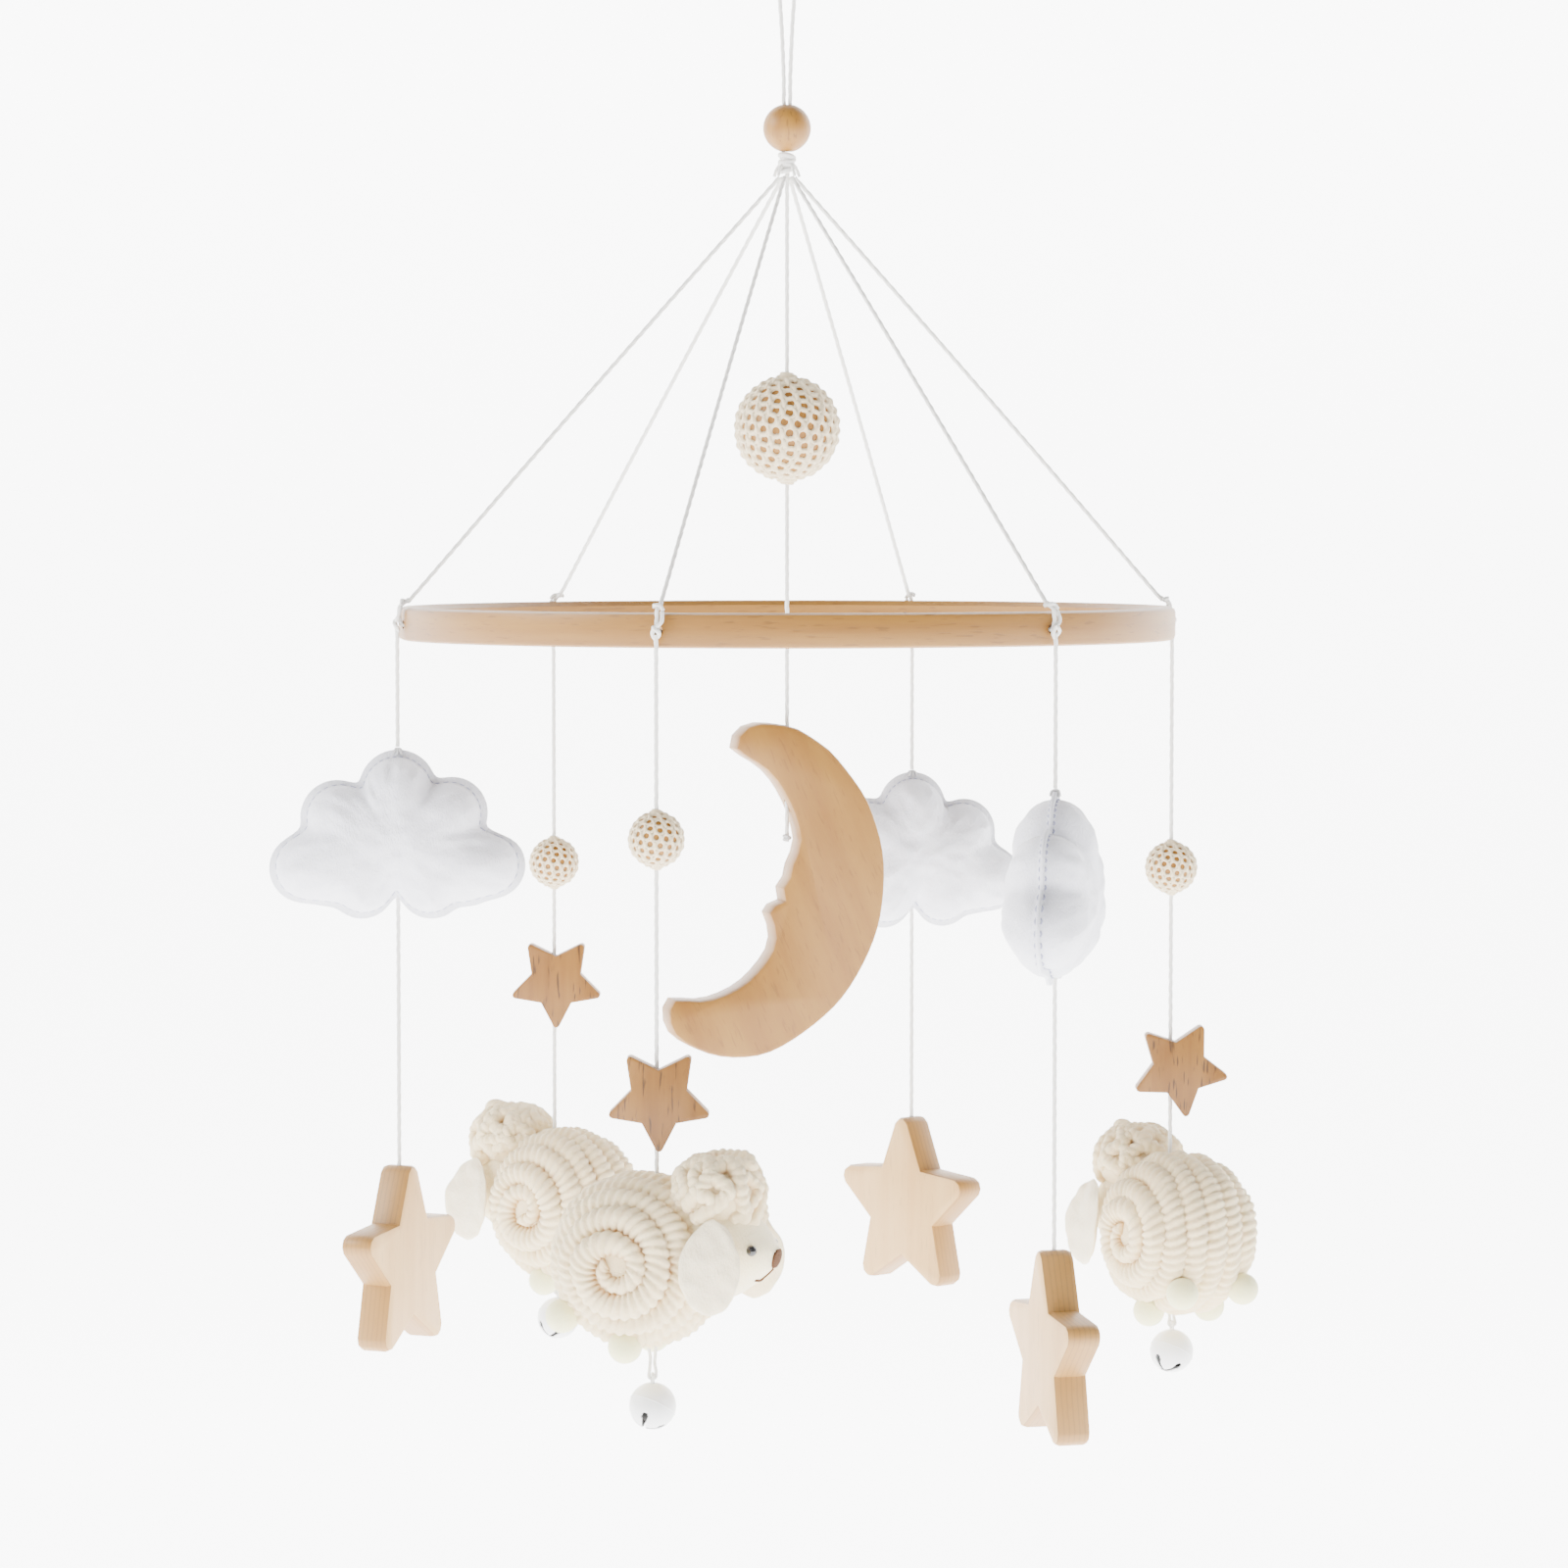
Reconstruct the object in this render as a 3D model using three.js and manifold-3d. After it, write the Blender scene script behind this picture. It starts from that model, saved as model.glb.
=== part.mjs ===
// A crib mobile: a bent wood ring held by six cords, with a moon in the middle
// and six hanging lines (clouds over big stars, small stars over wool sheep).
// Millimetres, +Z up, the origin is the top of the hanging loop, the front faces -Y.
import * as THREE from "three";
import { mergeVertices } from "three/addons/utils/BufferGeometryUtils.js";
import Module from "manifold-3d";

const wasm = await Module();
wasm.setup();

// The middle of the ring's wall; every height below is measured from it.
const RING_Z = -245;
const RING_OUTER = 130;
const RING_WALL = 6;
const RING_HALF_HEIGHT = 5.5;
const LINE_RADIUS = 131.9;
const CORD = 1.5;
const BORE = 2.3;
const HOLE = 3.2;
const GAP = 0.3;

const WOOD = 0xd9a866;
const WHITE = 0xf4f2ee;
const WOOL = 0xf3e9d8;

// Lengths down each line are measured from the ring; azimuths and turns are degrees about +Z.
const CLOUD_LINES = [
  {
    number: 1, azimuth: 193, cloudTop: -41,
    cloudYaw: 0, cloudSize: 1.0, starTop: -179, starYaw: 67,
  },
  {
    number: 2, azimuth: 70, cloudTop: -56,
    cloudYaw: 200, cloudSize: 1.0, starTop: -181, starYaw: -48,
  },
  {
    number: 3, azimuth: 310, cloudTop: -51,
    cloudYaw: 80, cloudSize: 1.08, starTop: -197, starYaw: -75,
  },
];
const SHEEP_LINES = [
  {
    number: 1, azimuth: 129, ball: -87.5, star: -131,
    slip: 0.8, tilt: 0, back: -182, heading: 139, bellDrop: 69,
  },
  {
    number: 2, azimuth: 252, ball: -65, star: -147,
    slip: 0.8, tilt: 0, back: -169, heading: -20, bellDrop: 74,
  },
  {
    number: 3, azimuth: 8, ball: -83.5, star: -153,
    slip: 3, tilt: -8, back: -180, heading: 118, bellDrop: 69,
  },
];

const group = new THREE.Group();
group.name = "crib_mobile";

const radians = (degrees) => (degrees * Math.PI) / 180;

// One closed surface: welded corners, no slivers, facing out.
function closed(geometry) {
  const bare = new THREE.BufferGeometry();
  bare.setAttribute("position", geometry.getAttribute("position").clone());
  bare.setIndex(geometry.getIndex());
  const welded = mergeVertices(bare, 1e-3);
  const position = welded.getAttribute("position");
  const old = welded.getIndex().array;
  const kept = [];
  let volume = 0;
  const corners = [new THREE.Vector3(), new THREE.Vector3(), new THREE.Vector3()];
  for (let i = 0; i < old.length; i += 3) {
    const [a, b, c] = [old[i], old[i + 1], old[i + 2]];
    if (a === b || b === c || c === a) continue;
    kept.push(a, b, c);
    corners.forEach((corner, k) => corner.fromBufferAttribute(position, [a, b, c][k]));
    volume += corners[0].dot(corners[1].clone().cross(corners[2]));
  }
  if (volume < 0) kept.reverse();
  welded.setIndex(kept);
  return welded;
}

function toSolid(geometry) {
  const body = closed(geometry);
  return new wasm.Manifold(new wasm.Mesh({
    numProp: 3,
    vertProperties: Float32Array.from(body.getAttribute("position").array),
    triVerts: Uint32Array.from(body.getIndex().array),
  }));
}

function fromSolid(solid) {
  const mesh = solid.getMesh();
  const geometry = new THREE.BufferGeometry();
  geometry.setAttribute("position", new THREE.BufferAttribute(mesh.vertProperties, 3));
  geometry.setIndex(new THREE.BufferAttribute(mesh.triVerts, 1));
  return geometry;
}

function cut(geometry, ...tools) {
  let solid = toSolid(geometry);
  for (const tool of tools) solid = solid.subtract(toSolid(tool));
  return fromSolid(solid);
}

function join(...geometries) {
  return fromSolid(geometries.map(toSolid).reduce((all, next) => all.add(next)));
}

function add(name, geometry, colour) {
  const finished = closed(geometry).toNonIndexed();
  finished.computeVertexNormals();
  const material = new THREE.MeshStandardMaterial({ color: colour, roughness: 0.7 });
  const mesh = new THREE.Mesh(finished, material);
  mesh.name = name;
  group.add(mesh);
}

// A profile of [radius, height] points turned about +Z.
function turned(profile, segments) {
  const points = profile.map(([r, z]) => new THREE.Vector2(r, z));
  return new THREE.LatheGeometry(points, segments).rotateX(Math.PI / 2);
}

function ellipsoid(rx, ry, rz, segments = 14) {
  const arc = [];
  const steps = Math.ceil(segments * 0.6);
  for (let i = 0; i <= steps; i += 1) {
    const angle = (Math.PI * i) / steps;
    arc.push([i % steps === 0 ? 0 : Math.sin(angle), -Math.cos(angle)]);
  }
  return turned(arc, segments).scale(rx, ry, rz);
}

function rod(radius, low, high, sides = 8) {
  return turned([[0, low], [radius, low], [radius, high], [0, high]], sides);
}

// Cords bend only at their chosen points, so they are stepped point by point.
class CordRoute extends THREE.CatmullRomCurve3 {
  getPointAt(t, target) { return this.getPoint(t, target); }
  getTangentAt(t, target) { return this.getTangent(t, target); }
}

function cordAlong(points, perPoint) {
  const circle = new THREE.Shape().absarc(0, 0, CORD / 2, 0, 2 * Math.PI);
  const route = new CordRoute(points, false, "centripetal");
  const steps = (points.length - 1) * perPoint;
  return new THREE.ExtrudeGeometry(circle, { curveSegments: 4, steps, extrudePath: route });
}

function hangLoop() {
  const side = [
    [1.05, -87.6], [1.05, -70], [1.2, -60], [2.2, -40], [4.5, -18], [4.6, -8], [3.2, -2.6],
  ];
  const left = side.map(([x, z]) => new THREE.Vector3(-x, 0, z));
  const right = side.map(([x, z]) => new THREE.Vector3(x, 0, z)).reverse();
  const top = new THREE.Vector3(0, 0, -CORD / 2);
  add("hang_loop", cordAlong([...left, top, ...right], 2), WHITE);
}

function topBead() {
  const centre = RING_Z + 165;
  const bead = ellipsoid(8, 8, 8).translate(0, 0, centre);
  const bore = rod(2.3, centre - 9, centre + 9, 10);
  add("top_bead", cut(bead, bore), WOOD);
  const knot = ellipsoid(3.6, 3.6, 3.1, 10).translate(0, 0, RING_Z + 153.6);
  add("gather_knot", knot, WHITE);
}

function ring() {
  const inner = RING_OUTER - RING_WALL;
  const top = RING_HALF_HEIGHT;
  const round = 1.6;
  const profile = [
    [inner, -top + round], [inner + round, -top],
    [RING_OUTER - round, -top], [RING_OUTER - 0.4, -top + 0.6], [RING_OUTER, -top + round],
    [RING_OUTER, top - round], [RING_OUTER - 0.4, top - 0.6], [RING_OUTER - round, top],
    [inner + round, top], [inner, top - round], [inner, -top + round],
  ];
  const holes = [...CLOUD_LINES, ...SHEEP_LINES].map((line) => {
    const drill = rod(HOLE / 2, inner - 2, RING_OUTER + 2).rotateY(Math.PI / 2);
    return drill.rotateZ(radians(line.azimuth));
  });
  const drilled = cut(turned(profile, 64), ...holes);
  add("wood_ring", drilled.translate(0, 0, RING_Z), WOOD);
}

// From the gather knot straight to the ring's rim, over it, and down into the hole.
function spokeCord(name, azimuth) {
  const route = [
    [2.6, 148.6], [45, 101.5], [88, 53.2], [124.5, 11.6], [128.2, 8.1],
    [130.8, 6.3], [131.2, 4.2], [131.2, 1.8], [130.3, 0.1], [128.4, -0.3], [125.4, -0.4],
  ];
  const turn = radians(azimuth);
  const points = route.map(([r, h]) =>
    new THREE.Vector3(r * Math.cos(turn), r * Math.sin(turn), RING_Z + h));
  add(name, cordAlong(points, 2), WHITE);
}

// A crocheted cover over a wooden core, both open at the poles for the cord.
function crochetBall(name, radius, place, segments) {
  const thick = radius * 0.1 + 0.2;
  const opening = 2.1 / radius + 0.06;
  const steps = Math.ceil(segments * 0.5);
  const outer = [];
  const inner = [];
  for (let i = 0; i <= steps; i += 1) {
    const angle = opening + ((Math.PI - 2 * opening) * i) / steps;
    outer.push([radius * Math.sin(angle), -radius * Math.cos(angle)]);
    inner.unshift([(radius - thick) * Math.sin(angle), -(radius - thick) * Math.cos(angle)]);
  }
  const cover = turned([...outer, ...inner, outer[0]], segments);
  add(`${name}_cover`, cover.translate(...place), WOOL);
  const size = radius - thick - GAP;
  const core = cut(ellipsoid(size, size, size, segments), rod(BORE / 2, -radius, radius));
  add(`${name}_core`, core.translate(...place), WOOD);
}

// A five-pointed star standing on the XZ plane, one point up, with rounded tips.
function starShape(outer, inner, tip) {
  const shape = new THREE.Shape();
  for (let i = 0; i < 5; i += 1) {
    const angle = Math.PI / 2 + (2 * Math.PI * i) / 5;
    const valley = angle + Math.PI / 5;
    const centre = outer - tip;
    for (const turn of [-60, -20, 20, 60]) {
      const side = angle + radians(turn);
      const x = Math.cos(angle) * centre + Math.cos(side) * tip;
      const y = Math.sin(angle) * centre + Math.sin(side) * tip;
      if (i === 0 && turn === -60) shape.moveTo(x, y);
      else shape.lineTo(x, y);
    }
    shape.lineTo(Math.cos(valley) * inner, Math.sin(valley) * inner);
  }
  shape.closePath();
  return shape;
}

// A flat board cut to a shape, with softened edges, standing upright and centred.
function board(shape, thickness, soften) {
  const geometry = new THREE.ExtrudeGeometry(shape, {
    depth: thickness - 2 * soften, bevelThickness: soften, bevelSize: soften, bevelOffset: -soften,
    bevelSegments: 2, curveSegments: 6,
  });
  return geometry.translate(0, 0, soften - thickness / 2).rotateX(Math.PI / 2);
}

// A cloud is nine overlapping rounds, [across, up, radius], seen from the point CLOUD_MIDDLE up.
const CLOUD_LOBES = [
  [0, 43.5, 13], [-20, 34, 12.5], [18, 35.5, 12], [-31, 17, 12], [31, 18, 11.5],
  [-12, 11.5, 11.5], [11, 11.5, 11.5], [-22, 13, 11], [22, 13, 11],
];
const CLOUD_MIDDLE = 27;
// From that point up to the top lobe, and down to the notch between the two lower lobes.
const CLOUD_RISE = 29.5;
const CLOUD_NOTCH = 18.9;
const OUTLINE_POINTS = 32;

function cloudOutline() {
  const points = [];
  for (let i = 0; i < OUTLINE_POINTS; i += 1) {
    const angle = (2 * Math.PI * i) / OUTLINE_POINTS;
    const ray = [Math.cos(angle), Math.sin(angle)];
    let reach = 10;
    for (const [x, up, r] of CLOUD_LOBES) {
      const y = up - CLOUD_MIDDLE;
      const along = ray[0] * x + ray[1] * y;
      const across = x * x + y * y - along * along;
      if (r * r > across) reach = Math.max(reach, along + Math.sqrt(r * r - across));
    }
    points.push([ray[0] * reach, ray[1] * reach]);
  }
  return points;
}

// A plain stuffed cushion with a flat seam edge, built as shrinking rings of the outline.
function cloud(line, x, y) {
  const outline = cloudOutline();
  const rings = [[1, 1.2], [0.93, 1.4], [0.86, 6], [0.66, 11.5], [0.35, 14]];
  const positions = [];
  const faces = [];
  const levels = [...rings.map(([s, d]) => [s, -d]).reverse(), ...rings];
  for (const [scale, depth] of levels) {
    for (const [u, v] of outline) positions.push(u * scale, depth, v * scale);
  }
  const count = outline.length;
  for (let level = 0; level < levels.length - 1; level += 1) {
    for (let i = 0; i < count; i += 1) {
      const [a, b] = [level * count + i, level * count + ((i + 1) % count)];
      faces.push(a, b, b + count, a, b + count, a + count);
    }
  }
  positions.push(0, -14.5, 0, 0, 14.5, 0);
  const last = (levels.length - 1) * count;
  for (let i = 0; i < count; i += 1) {
    const next = (i + 1) % count;
    faces.push(levels.length * count, next, i, levels.length * count + 1, last + i, last + next);
  }
  const geometry = new THREE.BufferGeometry();
  geometry.setAttribute("position", new THREE.Float32BufferAttribute(positions, 3));
  geometry.setIndex(faces);
  geometry.scale(line.cloudSize, 1, line.cloudSize);
  const middle = RING_Z + line.cloudTop - CLOUD_RISE * line.cloudSize;
  geometry.rotateZ(radians(line.cloudYaw)).translate(x, y, middle);
  add(`cloud_${line.number}`, geometry, WHITE);
  return middle - CLOUD_NOTCH * line.cloudSize;
}

function cloudLine(line) {
  const x = LINE_RADIUS * Math.cos(radians(line.azimuth));
  const y = LINE_RADIUS * Math.sin(radians(line.azimuth));
  const cloudTop = RING_Z + line.cloudTop;
  const cord = rod(CORD / 2, cloudTop + 0.6, RING_Z - 1.3);
  add(`cloud_cord_${line.number}`, cord.translate(x, y, 0), WHITE);
  const under = cloud(line, x, y) - 0.6;
  const tip = RING_Z + line.starTop;
  const lower = rod(CORD / 2, tip - 6, under - 0.8);
  add(`star_cord_${line.number}`, lower.translate(x, y, 0), WHITE);
  const star = board(starShape(32.6, 17.6, 4), 11.5, 1.8).translate(0, 0, tip - 32.6);
  const drilled = cut(star, rod(BORE / 2, tip - 7, tip + 2));
  add(`big_star_${line.number}`, drilled.rotateZ(radians(line.starYaw)).translate(x, y, 0), WOOD);
}

// Threaded on the cord a little off its middle, one point down.
function smallStar(line, x, y) {
  const height = RING_Z + line.star;
  const star = board(starShape(16.4, 9.2, 1.2), 8, 0.5).rotateY(Math.PI + radians(line.tilt));
  star.translate(line.slip, 0, height + 1);
  const bored = cut(star, rod(BORE / 2, height - 30, height + 30));
  add(`small_star_${line.number}`, bored.translate(x, y, 0), WOOD);
}

// Sheep are made facing +X with the back at height 0, under the cord, then turned.
function sheep(line, x, y) {
  const set = (geometry) => geometry.rotateZ(radians(line.heading)).translate(x, y, RING_Z + line.back);
  const middle = [-5.5, 0, -27.8];
  const wool = ellipsoid(28, 26, 27.5, 15).translate(...middle);
  const feet = [];
  for (const [along, down] of [[-27, -45], [-6, -53.5]]) {
    for (const side of [-12, 12]) feet.push(ellipsoid(5.5, 5.5, 5.5, 8).translate(along, side, down));
  }
  add(`sheep_${line.number}_body`, set(join(wool, ...feet)), WOOL);
  const room = ellipsoid(28.6, 26.6, 28.1, 15).translate(...middle);
  const face = ellipsoid(15.5, 14, 16, 14).translate(23, 0, -22.5);
  const topknot = ellipsoid(15.5, 15, 11, 12).translate(21, 0, -4);
  add(`sheep_${line.number}_head`, set(cut(join(face, topknot), room)), WOOL);
  const cheeks = face.clone().scale(1, 1.03, 1);
  for (const [name, side] of [["left", 1], ["right", -1]]) {
    const ear = ellipsoid(10.2, 2, 14.8, 10).rotateX(radians(side * 8));
    ear.translate(25, side * 18.4, -26.5);
    add(`sheep_${line.number}_ear_${name}`, set(cut(ear, room, cheeks)), WOOL);
  }
}

// A round sheet-metal bell with a cross slot below and a small eye on top.
function bell(line, x, y) {
  const heading = radians(line.heading);
  const centre = RING_Z + line.back - line.bellDrop;
  const bx = x - 1.5 * Math.cos(heading);
  const by = y - 1.5 * Math.sin(heading);
  const slots = [0, 90].map((turn) =>
    new THREE.BoxGeometry(11, 1.4, 7).translate(0, 0, -6).rotateZ(radians(turn)));
  const eye = new THREE.TorusGeometry(1.8, 0.6, 5, 8).rotateX(Math.PI / 2).translate(0, 0, 8.2);
  const outside = join(ellipsoid(7.5, 7.5, 7.5, 12), eye);
  const shell = cut(outside, ellipsoid(6.7, 6.7, 6.7, 10), ...slots);
  add(`bell_${line.number}`, shell.translate(bx, by, centre), WHITE);
  const belly = RING_Z + line.back - 55.9;
  const cord = rod(CORD / 2, centre + 10.6, belly);
  add(`bell_cord_${line.number}`, cord.translate(bx, by, 0), WHITE);
}

function sheepLine(line) {
  const x = LINE_RADIUS * Math.cos(radians(line.azimuth));
  const y = LINE_RADIUS * Math.sin(radians(line.azimuth));
  const cord = rod(CORD / 2, RING_Z + line.back + 0.6, RING_Z - 1.3);
  add(`sheep_cord_${line.number}`, cord.translate(x, y, 0), WHITE);
  crochetBall(`small_ball_${line.number}`, 9, [x, y, RING_Z + line.ball], 12);
  smallStar(line, x, y);
  sheep(line, x, y);
  bell(line, x, y);
}

// The crescent's outline from the cord's hole: outer bow, lower horn, face, upper horn.
const MOON_OUTLINE = [
  [-20, -7], [-19, -2.5], [-15, 0.8], [-9, 1.5], [0, 0], [7, -4], [14, -9.5], [24, -22.5],
  [28.5, -33], [31, -44], [31, -56], [29, -68], [24, -80], [16, -92], [5, -101.5], [-7, -108.5],
  [-17, -110.6], [-28, -109.5], [-38, -105], [-42.5, -100], [-43, -93], [-41, -90.6], [-30, -91],
  [-20, -87.5], [-13.5, -82.5], [-8, -75.5], [-6.6, -70], [-7.8, -64.5], [-9.2, -60.3], [-3.6, -59],
  [-4.2, -54.3], [-1.9, -51.5], [-1.6, -48], [0.2, -44], [2, -38.5], [0.8, -32], [-0.8, -27.5],
  [-3.5, -22], [-7, -16.8], [-11, -13], [-16, -10],
];
// The hole is this far to the left of the outline's own zero.
const MOON_SLIP = 1.2;
const MOON_TURN = 14;

function moonDrop() {
  const ball = RING_Z + 65;
  crochetBall("big_ball", 18, [0, 0, ball], 18);
  const top = RING_Z - 35;
  const shape = new THREE.Shape();
  const outline = MOON_OUTLINE.map(([u, v]) => new THREE.Vector2(u + MOON_SLIP, v));
  shape.moveTo(outline[0].x, outline[0].y);
  shape.splineThru([...outline.slice(1), outline[0]]);
  const points = shape.getSpacedPoints(76);
  const moon = board(new THREE.Shape(points.slice(0, -1)), 13, 1.4).translate(0, 0, top);
  const drilled = cut(moon, rod(BORE / 2, top - 40, top + 4));
  add("moon", drilled.rotateZ(radians(MOON_TURN)), WOOD);
  const knot = top - 37;
  const cord = rod(CORD / 2, knot, RING_Z + 150.1);
  const knotBall = ellipsoid(1.5, 1.5, 1.6, 8).translate(0, 0, knot);
  add("centre_cord", join(cord, knotBall), WHITE);
}

hangLoop();
topBead();
ring();
CLOUD_LINES.forEach((line) => spokeCord(`spoke_cord_cloud_${line.number}`, line.azimuth));
SHEEP_LINES.forEach((line) => spokeCord(`spoke_cord_sheep_${line.number}`, line.azimuth));
moonDrop();
CLOUD_LINES.forEach(cloudLine);
SHEEP_LINES.forEach(sheepLine);

export default group;
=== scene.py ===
import math
import random

import bpy
from mathutils import Matrix, Vector, noise


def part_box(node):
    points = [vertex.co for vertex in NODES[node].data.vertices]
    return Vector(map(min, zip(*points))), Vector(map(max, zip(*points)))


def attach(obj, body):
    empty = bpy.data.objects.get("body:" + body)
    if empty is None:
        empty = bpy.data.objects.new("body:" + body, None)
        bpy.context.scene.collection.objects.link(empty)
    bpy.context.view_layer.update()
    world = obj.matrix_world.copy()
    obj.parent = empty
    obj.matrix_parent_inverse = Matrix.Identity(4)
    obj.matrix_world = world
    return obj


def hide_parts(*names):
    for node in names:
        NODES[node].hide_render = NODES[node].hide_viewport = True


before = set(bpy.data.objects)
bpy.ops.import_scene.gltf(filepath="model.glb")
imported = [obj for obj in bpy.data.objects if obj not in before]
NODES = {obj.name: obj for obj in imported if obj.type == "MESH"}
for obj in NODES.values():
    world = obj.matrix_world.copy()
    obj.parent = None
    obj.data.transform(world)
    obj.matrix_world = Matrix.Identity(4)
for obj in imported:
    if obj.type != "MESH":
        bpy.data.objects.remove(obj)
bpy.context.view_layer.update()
MM = 0.001
RING_Z = -0.245
LINE_RADIUS = 0.1319
CORD = 0.0015
CLOUDS = {
    1: dict(azimuth=193, yaw=0, size=1.0),
    2: dict(azimuth=70, yaw=200, size=1.0),
    3: dict(azimuth=310, yaw=80, size=1.08),
}
SHEEP = {
    1: dict(azimuth=129, heading=139),
    2: dict(azimuth=252, heading=-20),
    3: dict(azimuth=8, heading=118),
}


# ---------- camera ----------

def aim_camera():
    """Straight on, a little above the ring's height and tipped slightly down."""
    camera = bpy.data.cameras.new("camera")
    camera.lens = 116.3
    camera.sensor_width = 36
    holder = bpy.data.objects.new("camera", camera)
    holder.location = (-0.001, -1.7, RING_Z + 0.034)
    holder.rotation_euler = (math.radians(90 - 2.97), 0, 0)
    bpy.context.scene.collection.objects.link(holder)
    bpy.context.scene.camera = holder


# ---------- mesh helpers ----------

def piece(name, verts, faces, material, body, stands_for=()):
    """A smooth mesh that rides on a body and stands for the CAD nodes named."""
    mesh = bpy.data.meshes.new(name)
    mesh.from_pydata([tuple(v) for v in verts], [], faces)
    mesh.update()
    mesh.polygons.foreach_set("use_smooth", [True] * len(mesh.polygons))
    mesh.materials.append(material)
    thing = bpy.data.objects.new(name, mesh)
    bpy.context.scene.collection.objects.link(thing)
    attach(thing, body)
    if stands_for:
        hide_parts(*stands_for)
    return thing


def spaced(points, step):
    """Points a fixed step apart along a Catmull-Rom curve through the given points."""
    pts = [Vector(p) for p in points]
    pts = [pts[0] * 2 - pts[1]] + pts + [pts[-1] * 2 - pts[-2]]
    dense = []
    for i in range(1, len(pts) - 2):
        a, b, c, d = pts[i - 1:i + 3]
        count = max(2, int((c - b).length / step) + 1)
        for k in range(count):
            t = k / count
            dense.append(0.5 * (2 * b + (c - a) * t + (2 * a - 5 * b + 4 * c - d) * t * t
                                + (3 * b - a - 3 * c + d) * t ** 3))
    dense.append(pts[-2])
    return dense


def length_of(points):
    return sum((b - a).length for a, b in zip(points, points[1:]))


def tube(points, radius_at, sides):
    """A swept tube. radius_at(s, angle, t) is the radius at arc length s and fraction t."""
    verts, faces = [], []
    side = None
    s = 0.0
    total = length_of(points)
    for i, p in enumerate(points):
        ahead = points[min(i + 1, len(points) - 1)] - points[max(i - 1, 0)]
        ahead.normalize()
        if side is None:
            side = ahead.orthogonal().normalized()
        side = (side - ahead * side.dot(ahead)).normalized()
        up = ahead.cross(side)
        if i:
            s += (p - points[i - 1]).length
        for k in range(sides):
            angle = 2 * math.pi * k / sides
            r = radius_at(s, angle, s / total)
            verts.append(p + (side * math.cos(angle) + up * math.sin(angle)) * r)
    for i in range(len(points) - 1):
        for k in range(sides):
            j = (k + 1) % sides
            faces.append((i * sides + k, i * sides + j, (i + 1) * sides + j, (i + 1) * sides + k))
    faces.append(tuple(reversed(range(sides))))
    faces.append(tuple(range((len(points) - 1) * sides, len(points) * sides)))
    return verts, faces


def even(radius):
    """The same radius all along a tube."""
    return lambda s, angle, t: radius


def lathe(profile, segments, centre):
    """A closed profile of (radius, height) points turned about +Z."""
    verts, faces = [], []
    count = len(profile)
    for i in range(segments):
        angle = 2 * math.pi * i / segments
        for r, z in profile:
            verts.append(Vector((r * math.cos(angle), r * math.sin(angle), z)) + centre)
    for i in range(segments):
        j = (i + 1) % segments
        for k in range(count):
            m = (k + 1) % count
            faces.append((i * count + k, j * count + k, j * count + m, i * count + m))
    return verts, faces


def ball(centre, size, rings=24, segments=36, shape=None):
    """An ellipsoid, with shape(unit vector) scaling its radius where given."""
    verts, faces = [], []
    for i in range(1, rings):
        polar = math.pi * i / rings
        for k in range(segments):
            angle = 2 * math.pi * k / segments
            unit = Vector((math.sin(polar) * math.cos(angle), math.sin(polar) * math.sin(angle),
                           math.cos(polar)))
            verts.append(unit)
    verts += [Vector((0, 0, 1)), Vector((0, 0, -1))]
    for i in range(rings - 2):
        for k in range(segments):
            j = (k + 1) % segments
            faces.append((i * segments + k, (i + 1) * segments + k,
                          (i + 1) * segments + j, i * segments + j))
    top, low = len(verts) - 2, len(verts) - 1
    last = (rings - 2) * segments
    for k in range(segments):
        j = (k + 1) % segments
        faces += [(top, k, j), (low, last + j, last + k)]
    placed = []
    for unit in verts:
        scale = shape(unit) if shape else 1.0
        placed.append(Vector([unit[a] * size[a] * scale for a in range(3)]) + Vector(centre))
    return placed, faces


def merged(parts):
    verts, faces = [], []
    for v, f in parts:
        base = len(verts)
        verts += v
        faces += [tuple(i + base for i in face) for face in f]
    return verts, faces


def moved(part, matrix):
    return [matrix @ v for v in part[0]], part[1]


def torus(centre, normal, major, minor, around=16, across=8):
    normal = Vector(normal).normalized()
    side = normal.orthogonal().normalized()
    up = normal.cross(side)
    verts, faces = [], []
    for i in range(around):
        a = 2 * math.pi * i / around
        out = side * math.cos(a) + up * math.sin(a)
        for k in range(across):
            b = 2 * math.pi * k / across
            verts.append(Vector(centre) + out * (major + minor * math.cos(b))
                         + normal * minor * math.sin(b))
    for i in range(around):
        for k in range(across):
            j, m = (i + 1) % around, (k + 1) % across
            faces.append((i * across + k, j * across + k, j * across + m, i * across + m))
    return verts, faces


# ---------- materials ----------

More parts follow.
